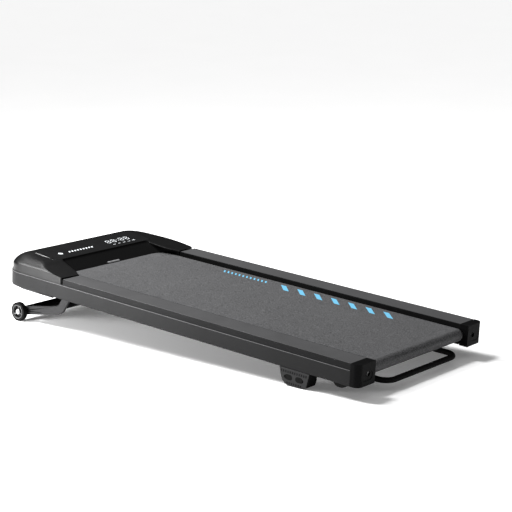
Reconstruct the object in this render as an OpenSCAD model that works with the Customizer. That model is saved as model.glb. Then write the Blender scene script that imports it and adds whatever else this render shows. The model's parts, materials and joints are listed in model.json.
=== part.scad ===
/* [Stance] */
// Upward slope of the deck towards the motor hood, degrees
incline = 3.27; // [2:0.01:4.5]
// Height of the foot rail top above the floor at the hood gap
deck_h = 148.5; // [145:0.5:155]

/* [Deck] */
// Width across the two foot rails
deck_w = 543; // [541:1:546]
// Width of one foot rail
rail_w = 66.6; // [64:0.2:68]
// Length of a foot rail from the hood gap to the end cap
rail_len = 990; // [960:1:1010]
// Length of an end cap
cap_len = 25; // [22:1:30]
// Height of the upper side band, down to the parting line
band_h = 17.4; // [15:0.2:19]
// Height of the whole side
side_h = 58; // [57:0.5:60]
// Step from the upper band out to the lower skirt
skirt_step = 1.5; // [1:0.1:2]
// Gap between the foot rails and the hood
gap = 3; // [2:0.5:4]

/* [Belt and rollers] */
// Width of the running belt
belt_w = 400; // [380:1:402]
// Thickness of the running belt
belt_t = 1.6; // [1.2:0.1:2]
// Depth of the belt surface below the foot rail tops
belt_drop = 12; // [11:0.2:13]
// Radius of both rollers
roller_r = 15; // [14.5:0.1:15.5]
// Thickness of the running board
board_t = 15; // [14:0.5:15.5]
// Radius of the fixed roller shafts
shaft_r = 6; // [5.5:0.1:6]
// Radius of the ribbed pulley on the front roller
roller_pulley_r = 26; // [24:0.5:26]
// Radius of the motor pulley
motor_pulley_r = 10; // [9:0.5:11]

/* [Motor hood] */
// Length of the hood in front of the gap
hood_len = 255; // [250:1:262]
// Corner radius of the hood in plan
hood_corner = 80; // [70:1:90]
// Wall thickness of the plastic shells
wall = 2.5; // [2:0.1:3]
// Width of the console window
panel_w = 392; // [370:1:396]
// Length of the console window
panel_l = 98; // [90:1:100]

/* [Lift frame] */
// Thickness of the lift arms
arm_t = 8; // [6:0.5:8]
// Depth of the lift arms
arm_h = 24; // [22:0.5:25]
// Outer radius of a wheel
wheel_r = 27; // [25:0.5:28]
// Width of a wheel
wheel_w = 16; // [14:0.5:16]
// Distance of the wheel axle in front of the gap
axle_y = 186; // [184:1:188]

/* [Rear handle] */
// Radius of the handle tube
handle_r = 6; // [5.5:0.1:7]
// Distance between the two handle legs
handle_w = 310; // [290:1:320]

/* [Hidden] */
$fn = 48;
thin = 0.01;
half = deck_w / 2;
rail_in = half - rail_w;
skirt_out = half + skirt_step;
cap_end = -rail_len - cap_len;
belt_bot = -belt_drop - belt_t;
board_bot = belt_bot - board_t;
board_half = 238;
board_front = 58;
board_back = -962;
loop_gap = 0.3;
roller_z = belt_bot - roller_r - loop_gap;
front_roller_y = 92;
rear_roller_y = -985;
roller_half = 202;
shaft_half = 238;

// Steel side tubes and the parts that stand on them
tube_x = [222, 242];
tube_z = [-57, -35.6];
tube_y = [-962, 118];
cross_y = [-90, -500, -880];
tension_x = 231;
screw_y = [-60, -340, -620, -900];

// Motor bay
motor_y = 186;
motor_z = -22;
motor_r = 34;
pulley_x = [-219, -203];
plate_z = [-60.4, -57];
belly_z = -66;

// Power panel in the front wall of the hood
control_z = -39;
inlet_x = 155;
rocker_x = 111;
rocker_y = 246;
reset_x = 181;

// Console window plane
panel_y = 157;
panel_z = 22.65;
panel_tilt = 3.6;
panel_r = 14;

// Lift frame, in the deck's own directions
pivot = [-18, -31];
pivot_plate = 246.5;
rear_tube = [23.2, -85];
rear_tube_r = 11;
front_tube_r = 12;
arm_in = 249;
arm_out = arm_in + arm_t;
bend_level = [30, 52.3];
bend_r = 30;
rod_x = 70;
rod_z = -54;
pin_r = 3.5;

// Side foot, outline in the deck's own directions
foot_back = -870;
foot_front = -775.5;
foot_in = 235;

handle_z = -66;
handle_y = -1020;
handle_bend = 32;

// Placement: the middle of the whole length is the origin
front_end = hood_len * cos(incline) + side_h * sin(incline);
rear_end = handle_y * cos(incline) - handle_z * sin(incline) - handle_r;
shift_y = -(front_end + rear_end) / 2;

function level_point(p) = [
  p[0] * cos(incline) - p[1] * sin(incline),
  p[0] * sin(incline) + p[1] * cos(incline) + deck_h
];
function unit(v) = v / norm(v);
function turned(v, a) = [v[0] * cos(a) - v[1] * sin(a), v[0] * sin(a) + v[1] * cos(a)];

// ---------------------------------------------------------------- placement

// The inclined deck: X across, Y along the deck from the hood gap, Z up from the rail tops
module deck() {
  translate([0, shift_y, deck_h]) rotate([incline, 0, 0]) children();
}

// Level directions with Y measured from the hood gap and Z from the floor
module level() {
  translate([0, shift_y, 0]) children();
}

// side is 1 for the right half and -1 for the left half
module on_side(side) {
  mirror([side < 0 ? 1 : 0, 0, 0]) children();
}

// ---------------------------------------------------------------- helpers

module block(x, y, z) {
  translate([x[0], y[0], z[0]]) cube([x[1] - x[0], y[1] - y[0], z[1] - z[0]]);
}

module round_x(x, y, z, r) {
  translate([x[0], y, z]) rotate([0, 90, 0]) cylinder(r = r, h = x[1] - x[0]);
}

module round_y(x, y, z, r) {
  translate([x, y[0], z]) rotate([-90, 0, 0]) cylinder(r = r, h = y[1] - y[0]);
}

module round_z(x, y, z, r) {
  translate([x, y, z[0]]) cylinder(r = r, h = z[1] - z[0]);
}

// A YZ outline, given thickness along X
module along_x(x) {
  translate([x[0], 0, 0]) rotate([90, 0, 90]) linear_extrude(x[1] - x[0]) children();
}

// An XZ outline, given length along Y
module along_y(y) {
  translate([0, y[1], 0]) rotate([90, 0, 0]) linear_extrude(y[1] - y[0]) children();
}

// Plan of the hood: straight sides and two rounded front corners
module hood_plan(half_w, back, front, r) {
  translate([-half_w, back]) square([2 * half_w, front - r - back]);
  translate([r - half_w, back]) square([2 * (half_w - r), front - back]);
  for (s = [-1, 1]) translate([s * (half_w - r), front - r]) circle(r);
}

module rounded_box(w, l, r) {
  square([w - 2 * r, l], center = true);
  square([w, l - 2 * r], center = true);
  for (sx = [-1, 1], sy = [-1, 1]) translate([sx * (w / 2 - r), sy * (l / 2 - r)]) circle(r);
}

// Points along an arc about c, from angle a0 to a1
function arc(c, r, a0, a1, n = 12) =
  [for (i = [0:n]) c + r * [cos(a0 + (a1 - a0) * i / n), sin(a0 + (a1 - a0) * i / n)]];

// Outline of a belt around two pulleys: centre a behind centre b, radii ra and rb
function loop_outline(a, b, ra, rb) = let (
  along = atan2(b[1] - a[1], b[0] - a[0]),
  lean = asin((ra - rb) / norm(b - a))
) concat(
  arc(a, ra, along + 90 - lean, along + 270 + lean, 24),
  arc(b, rb, along - 90 + lean, along + 90 - lean, 24)
);

// Outline of a flat bar of depth h from a to c, with round ends and a bend of radius r near b
function bent_bar(a, b, c, h, r) = let (
  in_a = atan2(b[1] - a[1], b[0] - a[0]),
  out_a = atan2(c[1] - b[1], c[0] - b[0]),
  start = b - unit(b - a) * r * tan((in_a - out_a) / 2),
  mid = start + r * [cos(in_a - 90), sin(in_a - 90)]
) concat(
  arc(a, h / 2, in_a + 270, in_a + 90),
  arc(mid, r + h / 2, in_a + 90, out_a + 90),
  arc(c, h / 2, out_a + 90, out_a - 90),
  arc(mid, r - h / 2, out_a + 90, in_a + 90)
);

// ---------------------------------------------------------------- steel frame

module frame_tube(side) {
  color("dimgray") deck() on_side(side) {
    difference() {
      block(tube_x, tube_y, tube_z);
      block([tube_x[0] + 2, tube_x[1] - 2], [tube_y[0] - 1, tube_y[1] + 1], [tube_z[0] + 2, tube_z[1] - 2]);
      for (y = screw_y) round_z(230, y, [tube_z[1] - 3, tube_z[1] + 1], 2.6);
    }
    difference() {
      block([tube_x[1] - thin, pivot_plate], [pivot[0] - 16, pivot[0] + 16], [tube_z[0], pivot[1] + 11]);
      round_x([tube_x[1] - 1, pivot_plate + 1], pivot[0], pivot[1], 6.02);
    }
  }
}

module cross_members() {
  color("dimgray") deck() {
    for (y = cross_y) block([-tube_x[0], tube_x[0]], [y, y + 30], [-42.6, -36]);
    block([-tube_x[0], tube_x[0]], [-945, -905], [-57, -48.5]);
  }
}

module front_cross_plate() {
  color("dimgray") deck() difference() {
    block([-240, 240], [60, 232], plate_z);
    block([rod_x - 9, rod_x + 9], [59, 128], [plate_z[0] - 1, plate_z[1] + 1]);
    for (s = [-1, 1]) translate([s * 240, 232, plate_z[0] - 1]) rotate([0, 0, 45]) cube([90, 90, 12], center = true);
  }
}

// ---------------------------------------------------------------- running deck

module running_board() {
  color("saddlebrown") deck() difference() {
    block([-board_half, board_half], [board_back, board_front], [board_bot, belt_bot]);
    for (s = [-1, 1], y = screw_y) {
      round_z(s * 230, y, [board_bot - 1, belt_bot + 1], 2.6);
      translate([s * 230, y, belt_bot - 2.6]) cylinder(r1 = 2.6, r2 = 5.3, h = 2.7);
    }
  }
}

module board_cushions() {
  color("black") deck() for (s = [-1, 1], y = screw_y) difference() {
    block([s * 230 - 7, s * 230 + 7], [y - 20, y + 20], [tube_z[1], board_bot]);
    round_z(s * 230, y, [tube_z[1] - 1, board_bot + 1], 2.6);
  }
}

module board_screws() {
  color("silver") deck() for (s = [-1, 1], y = screw_y) {
    round_z(s * 230, y, [tube_z[1] - 5, belt_bot - 2.5], 2.5);
    translate([s * 230, y, belt_bot - 2.6]) cylinder(r1 = 2.5, r2 = 5, h = 2.5);
  }
}

module running_belt() {
  a = [front_roller_y, roller_z];
  b = [rear_roller_y, roller_z];
  inner = roller_r + loop_gap;
  color([0.2, 0.2, 0.2]) deck() along_x([-belt_w / 2, belt_w / 2]) difference() {
    polygon(loop_outline(b, a, inner + belt_t, inner + belt_t));
    polygon(loop_outline(b, a, inner, inner));
  }
}

module roller_shaft(y) {
  color("silver") deck() round_x([-shaft_half, shaft_half], y, roller_z, shaft_r);
}

module front_roller_shaft() {
  roller_shaft(front_roller_y);
}

module rear_roller_shaft() {
  color("silver") deck() difference() {
    round_x([-shaft_half, shaft_half], rear_roller_y, roller_z, shaft_r);
    for (s = [-1, 1]) round_y(s * tension_x, [-1000, -970], roller_z, 3.05);
  }
}

module front_roller_brackets() {
  color("dimgray") deck() for (s = [-1, 1]) difference() {
    block([s * 231 - 6, s * 231 + 6], [front_roller_y - 13, front_roller_y + 13], [tube_z[1], -15]);
    round_x([s * 231 - 9, s * 231 + 9], front_roller_y, roller_z, shaft_r + 0.02);
  }
}

module rear_axle_blocks() {
  color("dimgray") deck() for (s = [-1, 1]) difference() {
    block([s * 231 - 8, s * 231 + 8], [-1003, -962], [-44, -15]);
    round_x([s * 231 - 9, s * 231 + 9], rear_roller_y, roller_z, shaft_r + 0.02);
    round_y(s * tension_x, [-1004, -970], roller_z, 3.4);
  }
}

module roller(y) {
  deck() difference() {
    round_x([-roller_half, roller_half], y, roller_z, roller_r);
    round_x([-roller_half - 1, roller_half + 1], y, roller_z, roller_r - 2.5);
  }
}

module bearings(y) {
  deck() for (s = [-1, 1]) difference() {
    round_x([s * 194 - 7, s * 194 + 7], y, roller_z, roller_r - 2.5);
    round_x([s * 194 - 8, s * 194 + 8], y, roller_z, shaft_r + 0.05);
  }
}

module front_roller() {
  color("silver") roller(front_roller_y);
}

module front_roller_bearings() {
  color("gray") bearings(front_roller_y);
}

module rear_roller() {
  color("silver") roller(rear_roller_y);
}

module rear_roller_bearings() {
  color("gray") bearings(rear_roller_y);
}

module roller_pulley() {
  color("gray") deck() difference() {
    union() {
      round_x([pulley_x[0] + 2, pulley_x[1] - 2], front_roller_y, roller_z, roller_pulley_r - 1);
      for (x = [pulley_x[0], pulley_x[1] - 2]) round_x([x, x + 2], front_roller_y, roller_z, roller_pulley_r);
      round_x([pulley_x[1] - 1, -roller_half], front_roller_y, roller_z, 13);
    }
    round_x([pulley_x[0] - 1, -roller_half + 1], front_roller_y, roller_z, shaft_r + 1);
  }
}

module tension_bolt(side) {
  color("silver") deck() on_side(side) difference() {
    union() {
      round_y(tension_x, [-1004, -976], roller_z, 3);
      round_y(tension_x, [-1010, -1003.3], roller_z, 5);
    }
    round_y(tension_x, [-1011, -1006], roller_z, 2.4, $fn = 48);
  }
}

// ---------------------------------------------------------------- outer covers

module foot_rail(side) {
  top_in = rail_in + wall;
  color([0.28, 0.28, 0.29]) deck() on_side(side) {
    along_y([-rail_len, -gap / 2]) polygon([
      [rail_in, -0.6], [rail_in + 0.6, 0], [half - 1.2, 0], [half, -1.2], [half, -band_h],
      [half - wall, -band_h], [half - wall, -wall], [252, -wall], [252, belt_bot],
      [249.5, belt_bot], [249.5, -wall], [top_in, -wall], [top_in, belt_bot], [rail_in, belt_bot]
    ]);
  }
}

// Straight lower side cover with a lit bevel under the parting line
module skirt_profile() {
  edge = skirt_out;
  polygon([
    [half - 9, -band_h], [half, -band_h], [edge, -band_h - skirt_step], [edge, -side_h + 2],
    [edge - 2, -side_h], [edge - 8, -side_h], [edge - 8, -side_h + wall], [edge - 3, -side_h + wall],
    [edge - 3, -band_h - wall], [half - 9, -band_h - wall]
  ]);
}

module side_skirt(side) {
  color([0.25, 0.25, 0.26]) deck() on_side(side) {
    along_y([-rail_len, 60]) skirt_profile();
    for (y = [-860, -640, -420, -200]) block([tube_x[1], skirt_out - 2], [y, y + 4], [-55, -38]);
  }
}

// Plan of an end cap with its rounded outer rear corner
module cap_plan(grow) {
  corner = [skirt_out - 16, cap_end + 16];
  front = -rail_len;
  polygon(concat(
    [[corner[0] + 16 + grow, front], [rail_in - grow, front], [rail_in - grow, cap_end - grow]],
    arc(corner, 16 + grow, 270, 360)
  ));
}

module end_cap(side) {
  color([0.12, 0.12, 0.12]) deck() on_side(side) difference() {
    translate([0, 0, -57]) linear_extrude(57) cap_plan(0);
    translate([0, 0, -54.5]) linear_extrude(52) cap_plan(-wall);
    block([rail_in + wall, skirt_out - 3], [-rail_len - 8, -rail_len + 1], [-54.5, -2.5]);
    block([rail_in - 1, rail_in + 4], [-1001, -rail_len + 1], [roller_z - 8, roller_z + 8]);
    for (x = [227, 249]) round_y(x, [cap_end - 1, cap_end + 1.2], -33, 12);
    block([227, 249], [cap_end - 1, cap_end + 1.2], [-45, -21]);
    round_y(tension_x, [cap_end - 1, cap_end + 4], roller_z, 6.5);
  }
}

// Side view of the hood's crown, lowered by t for the inside
module hood_crown(t, top_t) {
  polygon([
    [gap / 2 - 2, -18], [gap / 2 - 2, 1.7 - top_t], [102, 17.3 - top_t], [107, 19.5 - top_t],
    [208, 25.85 - top_t], [222, 24.6 - top_t], [234, 20.5 - top_t], [243, 13.5 - top_t],
    [249, 4.5 - t], [252 - t, -6 - t], [252 - t, -18]
  ]);
}

// Front view of the hood's crown with its domed shoulders
module hood_arch(t) {
  right = [[270 - t, -18], [270 - t, 7.6 - t], [268.4 - t, 9.4 - t], [258, 14.8 - t], [244, 19.4 - t], [226, 23 - t], [206, 26 - t]];
  left = [for (i = [len(right) - 1:-1:0]) [-right[i][0], right[i][1]]];
  polygon(concat(right, left));
}

// The bay over the belt behind the console, wider and longer at the top
module belt_bay(grow) {
  hull() {
    translate([0, 0, -30]) linear_extrude(18) hood_plan(rail_in + grow, -60, 70 + grow, 50, $fn = 32);
    translate([0, 0, 19.6]) linear_extrude(thin) polygon([
      [-rail_in - 1 - grow, -60], [rail_in + 1 + grow, -60], [204 + grow, 5], [176 + grow, 98],
      [168 + grow, 107.5 + grow], [-168 - grow, 107.5 + grow], [-176 - grow, 98], [-204 - grow, 5]
    ]);
  }
  translate([0, 0, 19.5]) linear_extrude(12) polygon([
    [-rail_in - 1 - grow, -60], [rail_in + 1 + grow, -60], [204 + grow, 5], [176 + grow, 98],
    [168 + grow, 107.5 + grow], [-168 - grow, 107.5 + grow], [-176 - grow, 98], [-204 - grow, 5]
  ]);
}

module hood_solid(t, top_t, bay_grow) {
  difference() {
    intersection() {
      translate([0, 0, -18]) linear_extrude(50) hood_plan(270 - t, gap / 2 - 2 + t, 252 - t, hood_corner - 3 - t);
      along_x([-280, 280]) hood_crown(t, top_t);
      along_y([-5, 260]) hood_arch(t);
    }
    belt_bay(bay_grow);
  }
}

module hood_cover() {
  color([0.1, 0.1, 0.1]) deck() difference() {
    hood_solid(0, 0, 0);
    hood_solid(wall, 5, wall);
    block([-280, 280], [-5, gap / 2], [-30, 40]);
    block([-280, 280], [-5, 260], [-30, -band_h]);
    block([-board_half - 1, board_half + 1], [-5, board_front + 0.5], [-30, belt_bot]);
    block([-rail_in + 1, rail_in - 1], [-5, 120], [-30, -belt_drop + 1]);
    block([-25, 25], [60, 80], [-10.4, -6.6]);
    translate([0, panel_y, panel_z]) rotate([panel_tilt, 0, 0]) translate([0, 0, -2.6])
      linear_extrude(6) rounded_box(panel_w + 0.6, panel_l + 0.6, panel_r);
  }
}

module display_panel() {
  color([0.03, 0.03, 0.03]) deck() translate([0, panel_y, panel_z]) rotate([panel_tilt, 0, 0])
    translate([0, 0, -2.6]) linear_extrude(3) rounded_box(panel_w, panel_l, panel_r);
}

module display_board() {
  color("darkgreen") deck() translate([0, panel_y, panel_z]) rotate([panel_tilt, 0, 0])
    block([20, 160], [-28, 28], [-6.6, -5]);
}

module sensor_window() {
  color([0.6, 0.6, 0.6]) deck() difference() {
    block([-23, 23], [69.5, 74.5], [-10, -7]);
    translate([0, 69.5, -10]) rotate([50, 0, 0]) block([-30, 30], [-5, 9], [0, 5]);
  }
}

module front_skirt() {
  color([0.25, 0.25, 0.26]) deck() difference() {
    union() {
      translate([0, 0, -side_h]) linear_extrude(side_h - band_h - skirt_step)
        hood_plan(skirt_out, 60, hood_len, hood_corner);
      translate([0, 0, -band_h - skirt_step]) linear_extrude(skirt_step)
        hood_plan(half, 60, hood_len - skirt_step, hood_corner - skirt_step);
    }
    translate([0, 0, -side_h - 1]) linear_extrude(side_h - band_h - wall + 1)
      hood_plan(skirt_out - 3, 59, hood_len - 3, hood_corner - 3);
    translate([0, 0, -band_h - wall - 1]) linear_extrude(wall + 2)
      hood_plan(half - 9, 59, hood_len - 12, hood_corner - 12);
    block([79, 191], [240, 260], [-52, -26]);
  }
}

module belly_pan() {
  rim = skirt_out - 2;
  color([0.06, 0.06, 0.06]) deck() difference() {
    hull() {
      translate([0, 0, -side_h - thin]) linear_extrude(thin) hood_plan(rim, 50, hood_len - 2, hood_corner - 2, $fn = 32);
      translate([0, 0, belly_z]) linear_extrude(thin) hood_plan(rim - 10, 50, hood_len - 22, hood_corner - 12, $fn = 32);
    }
    hull() {
      translate([0, 0, -side_h]) linear_extrude(1) hood_plan(rim - 3, 49, hood_len - 5, hood_corner - 5, $fn = 32);
      translate([0, 0, belly_z + 2.6]) linear_extrude(thin)
        hood_plan(rim - 12, 49, hood_len - 24, hood_corner - 14, $fn = 32);
    }
  }
}

// ---------------------------------------------------------------- motor bay

module drive_motor() {
  color("dimgray") deck() difference() {
    union() {
      round_x([-162, -58], motor_y, motor_z, motor_r);
      round_x([-170, -162], motor_y, motor_z, motor_r - 6);
      round_x([-58, -50], motor_y, motor_z, motor_r - 6);
    }
    round_x([-171, -130], motor_y, motor_z, 5.05);
  }
}

module motor_cradle() {
  color("dimgray") deck() difference() {
    block([-152, -68], [motor_y - 30, motor_y + 30], [plate_z[1], -40]);
    round_x([-153, -67], motor_y, motor_z, motor_r);
  }
}

module motor_rotor() {
  color("silver") deck() {
    round_x([pulley_x[0] - 2, -131], motor_y, motor_z, 5);
    round_x([pulley_x[0] + 2, pulley_x[1] - 2], motor_y, motor_z, motor_pulley_r - 1);
    for (x = [pulley_x[0], pulley_x[1] - 2]) round_x([x, x + 2], motor_y, motor_z, motor_pulley_r + 1.5);
    round_x([-190, -178], motor_y, motor_z, 26);
  }
}

module drive_belt() {
  a = [motor_y, motor_z];
  b = [front_roller_y, roller_z];
  ra = motor_pulley_r - 1 + loop_gap;
  rb = roller_pulley_r - 1 + loop_gap;
  color("black") deck() along_x([pulley_x[0] + 2.6, pulley_x[1] - 2.6]) difference() {
    polygon(loop_outline(b, a, rb + 2, ra + 2));
    polygon(loop_outline(b, a, rb, ra));
  }
}

module control_box() {
  color("lightgray") deck() {
    block([104, 184], [130, 226], [plate_z[1], -30]);
    for (i = [0:9]) block([106 + i * 8, 109 + i * 8], [134, 222], [-30, -14]);
  }
}

module lift_motor() {
  color("gray") deck() difference() {
    union() {
      block([rod_x - 18, rod_x + 18], [136, 168], [plate_z[1], -34]);
      round_y(rod_x, [168, 228], -35, 20);
      round_y(rod_x, [128, 136], rod_z + 5, 8);
    }
    round_y(rod_x, [127, 165], rod_z, 3.05);
  }
}

module lift_rod() {
  color("silver") deck() difference() {
    union() {
      round_y(rod_x, [-2, 152], rod_z, 3);
      block([rod_x - 9, rod_x + 9], [-24, 2], [rod_z - 5, rod_z + 5]);
    }
    block([rod_x - 4, rod_x + 4], [-30, -3], [rod_z - 8, rod_z + 8]);
  }
  color("silver") deck() round_x([rod_x - 8, rod_x + 8], pivot[0], rod_z, pin_r);
}

// ---------------------------------------------------------------- rear details and front sockets

// Panel with two ears behind it that hold the rocker's pin
module power_panel() {
  color([0.06, 0.06, 0.06]) deck() difference() {
    union() {
      block([75, 192.5], [249.4, 252], [-55, -23]);
      for (x = [rocker_x - 9, rocker_x + 9]) block([x - 1, x + 1], [242, 249.5], [control_z - 4, control_z + 4]);
    }
    block([inlet_x - 14, inlet_x + 14], [248, 254], [control_z - 10, control_z + 10]);
    block([rocker_x - 7, rocker_x + 7], [249, 254], [control_z - 10, control_z + 10]);
    round_x([rocker_x - 11, rocker_x + 11], rocker_y, control_z, 1.55);
    round_y(reset_x, [248, 254], control_z, 5.1);
  }
}

module power_inlet() {
  color([0.05, 0.05, 0.05]) deck() translate([inlet_x, 0, control_z]) {
    difference() {
      block([-14, 14], [236, 253], [-10, 10]);
      block([-11.5, 11.5], [239, 254], [-7.5, 7.5]);
    }
    for (x = [-7, 0, 7]) block([x - 1, x + 1], [238, 243], [-3, 3]);
  }
}

module rocker_switch() {
  color([0.05, 0.05, 0.05]) deck() translate([rocker_x, rocker_y, control_z]) {
    rotate([-8, 0, 0]) intersection() {
      block([-6.6, 6.6], [-5, 7], [-8.6, 8.6]);
      along_x([-6.6, 6.6]) polygon([[-5, -5], [7, -9], [5.4, 0], [7, 9], [-5, 5]]);
    }
    round_x([-9.8, 9.8], 0, 0, 1.5);
  }
}

module reset_button() {
  color([0.5, 0.1, 0.1]) deck() {
    round_y(reset_x, [240, 254], control_z, 5);
    round_y(reset_x, [238, 245.6], control_z, 7);
  }
}

module foot_outline(back, front, low) {
  polygon([
    [back, -side_h], [front, -side_h], [front - 4, -75.5], [front - 9.5, -90],
    [front - 18.5, -98.5], [front - 33, low], [back + 30, low], [back + 16, -99.5],
    [back + 9, -95.5], [back + 6.5, -88]
  ]);
}

module side_foot(side) {
  color([0.06, 0.06, 0.06]) difference() {
    deck() on_side(side) along_x([foot_in, skirt_out - 2]) foot_outline(foot_back, foot_front, -106);
    translate([-400, -900, -30]) cube([800, 1800, 30]);
  }
}

// Grey face of the side foot with two openings and two rows of slots
module foot_plate(side) {
  color([0.45, 0.45, 0.46]) deck() on_side(side) difference() {
    along_x([skirt_out - 2, skirt_out]) foot_outline(foot_back + 1, foot_front - 1, -101);
    along_x([skirt_out - 3, skirt_out + 1]) polygon([[-796, -74.5], [-813, -74.5], [-816, -80], [-812, -86], [-797, -86], [-791, -80]]);
    along_x([skirt_out - 3, skirt_out + 1]) polygon([[-831, -74.5], [-848, -74.5], [-853, -80], [-849, -86.5], [-832, -86.5], [-827, -80]]);
    for (i = [0:11]) block([skirt_out - 3, skirt_out + 1], [-861.5 + i * 7, -858.5 + i * 7], [-69.5, -63]);
    for (i = [0:6]) block([skirt_out - 3, skirt_out + 1], [-846 + i * 7, -843 + i * 7], [-97.5, -92]);
  }
}

module rear_pads() {
  color([0.05, 0.05, 0.05]) deck() for (s = [-1, 1]) on_side(s) along_x([240, 268]) polygon([
    [-976, -side_h], [-938, -side_h], [-943, -65], [-950, -68.5], [-964, -68.5], [-972, -65]
  ]);
}

module rear_handle() {
  leg = handle_w / 2;
  turn_y = handle_y + handle_bend;
  color([0.04, 0.04, 0.04]) deck() translate([0, 0, handle_z]) {
    round_x([-leg + handle_bend, leg - handle_bend], handle_y, 0, handle_r);
    for (s = [-1, 1]) {
      round_y(s * leg, [turn_y, -900], 0, handle_r);
      translate([s * (leg - handle_bend), turn_y, 0]) rotate([0, 0, s > 0 ? -90 : 180])
        rotate_extrude(angle = 90) translate([handle_bend, 0]) circle(handle_r);
    }
  }
}

module handle_clamps() {
  leg = handle_w / 2;
  color([0.04, 0.04, 0.04]) deck() for (s = [-1, 1]) difference() {
    block([s * leg - 17, s * leg + 17], [-943, -907], [-74, -57]);
    round_y(s * leg, [-944, -899], handle_z, handle_r);
  }
}

// ---------------------------------------------------------------- lift frame

module pivot_bolts() {
  color("silver") deck() for (s = [-1, 1]) on_side(s) {
    round_x([tube_x[1] + 0.2, arm_out + 1], pivot[0], pivot[1], 6);
    round_x([arm_out + 0.5, arm_out + 4], pivot[0], pivot[1], 9);
  }
}

module lift_arm(side) {
  axle = [axle_y, wheel_r];
  hinge = level_point(pivot);
  color([0.3, 0.3, 0.31]) level() on_side(side) difference() {
    along_x([arm_in, arm_out]) polygon(bent_bar(axle, bend_level, hinge, arm_h, bend_r));
    round_x([arm_in - 1, arm_out + 1], hinge[0], hinge[1], 6.05);
    round_x([arm_in - 1, arm_out + 1], axle[0], axle[1], 5);
  }
}

module lift_front_tube() {
  color([0.12, 0.12, 0.12]) level() difference() {
    round_x([-arm_in, arm_in], axle_y, wheel_r, front_tube_r);
    round_x([-225, 225], axle_y, wheel_r, front_tube_r - 2);
    for (s = [-1, 1]) round_x([s * 240 - 20, s * 240 + 20], axle_y, wheel_r, 5);
  }
}

module lift_rear_tube() {
  color([0.12, 0.12, 0.12]) deck() difference() {
    round_x([-arm_in, arm_in], rear_tube[0], rear_tube[1], rear_tube_r);
    round_x([-240, 240], rear_tube[0], rear_tube[1], rear_tube_r - 2);
  }
}

// Plate whose fork straddles the push rod's pin
module lift_lever() {
  fork = pivot[0];
  slot = pin_r + 0.7;
  color([0.3, 0.3, 0.31]) deck() along_x([rod_x - 3, rod_x + 3]) difference() {
    polygon([
      [fork - 8, -51.5], [fork - slot, -51.5], [fork - slot, -62], [fork + slot, -62],
      [fork + slot, -51.5], [fork + 8, -51.5], [fork + 8, -63], [19, -76],
      [15, -89], [fork + 2, -80], [fork - 8, -71]
    ]);
    translate(rear_tube) circle(rear_tube_r);
  }
}

module wheel_axles() {
  outer = arm_out + 3 + wheel_w;
  color("silver") level() for (s = [-1, 1]) on_side(s) {
    round_x([220, outer - 2], axle_y, wheel_r, 5);
    round_x([arm_out, arm_out + 2.7], axle_y, wheel_r, 8);
    round_x([outer - 4.6, outer - 1.2], axle_y, wheel_r, 7);
  }
}

module tyre(side) {
  inner = arm_out + 3;
  color([0.04, 0.04, 0.04]) level() on_side(side) translate([inner, axle_y, wheel_r]) rotate([0, 90, 0])
    rotate_extrude($fn = 96) polygon([
      [20.02, 0], [wheel_r - 2.5, 0], [wheel_r - 0.7, 0.7], [wheel_r, 2.5], [wheel_r, wheel_w - 2.5],
      [wheel_r - 0.7, wheel_w - 0.7], [wheel_r - 2.5, wheel_w], [20.02, wheel_w]
    ]);
}

module hub(side) {
  inner = arm_out + 3;
  color([0.5, 0.5, 0.52]) level() on_side(side) difference() {
    translate([inner, axle_y, wheel_r]) rotate([0, 90, 0]) rotate_extrude($fn = 96) polygon([
      [5.05, 0], [20, 0], [20, wheel_w - 0.5], [17, wheel_w - 0.5], [16, wheel_w - 5],
      [5.05, wheel_w - 5]
    ]);
    for (a = [0, 120, 240]) translate([inner - 1, axle_y, wheel_r]) rotate([a, 0, 0])
      translate([0, 0, 11.5]) rotate([0, 90, 0]) cylinder(r = 3, h = wheel_w + 2);
  }
}

// ---------------------------------------------------------------- output

frame_tube(-1);  // frame_tube_left
frame_tube(1);  // frame_tube_right
cross_members();
front_cross_plate();
running_board();
board_cushions();
board_screws();
running_belt();
front_roller_shaft();
rear_roller_shaft();
front_roller_brackets();
rear_axle_blocks();
foot_rail(-1);  // foot_rail_left
foot_rail(1);  // foot_rail_right
side_skirt(-1);  // side_skirt_left
side_skirt(1);  // side_skirt_right
end_cap(-1);  // end_cap_left
end_cap(1);  // end_cap_right
hood_cover();
front_skirt();
belly_pan();
display_panel();
display_board();
sensor_window();
drive_motor();
motor_cradle();
drive_belt();
control_box();
lift_motor();
power_panel();
power_inlet();
side_foot(-1);  // side_foot_left
side_foot(1);  // side_foot_right
foot_plate(-1);  // foot_plate_left
foot_plate(1);  // foot_plate_right
rear_pads();
rear_handle();
handle_clamps();
pivot_bolts();
lift_arm(-1);  // lift_arm_left
lift_arm(1);  // lift_arm_right
lift_front_tube();
lift_rear_tube();
lift_lever();
wheel_axles();
tyre(-1);  // tyre_left
tyre(1);  // tyre_right
hub(-1);  // hub_left
hub(1);  // hub_right
front_roller();
front_roller_bearings();
roller_pulley();
rear_roller();
rear_roller_bearings();
motor_rotor();
lift_rod();
rocker_switch();
reset_button();
tension_bolt(-1);  // tension_bolt_left
tension_bolt(1);  // tension_bolt_right
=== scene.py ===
"""Looks of a walking treadmill: camera, studio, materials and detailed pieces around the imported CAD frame.

Pieces are drawn in millimetres in the deck's own directions: X across, Y along the deck from the gap
behind the motor hood, Z up from the foot rail tops. DECK places them in the row frame, in metres; PANEL
does so for the console window's own plane and FLOOR for the wheels, which stand level on the floor.
"""

import json
import math

import bmesh
import bpy
from mathutils import Matrix, Vector


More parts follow.
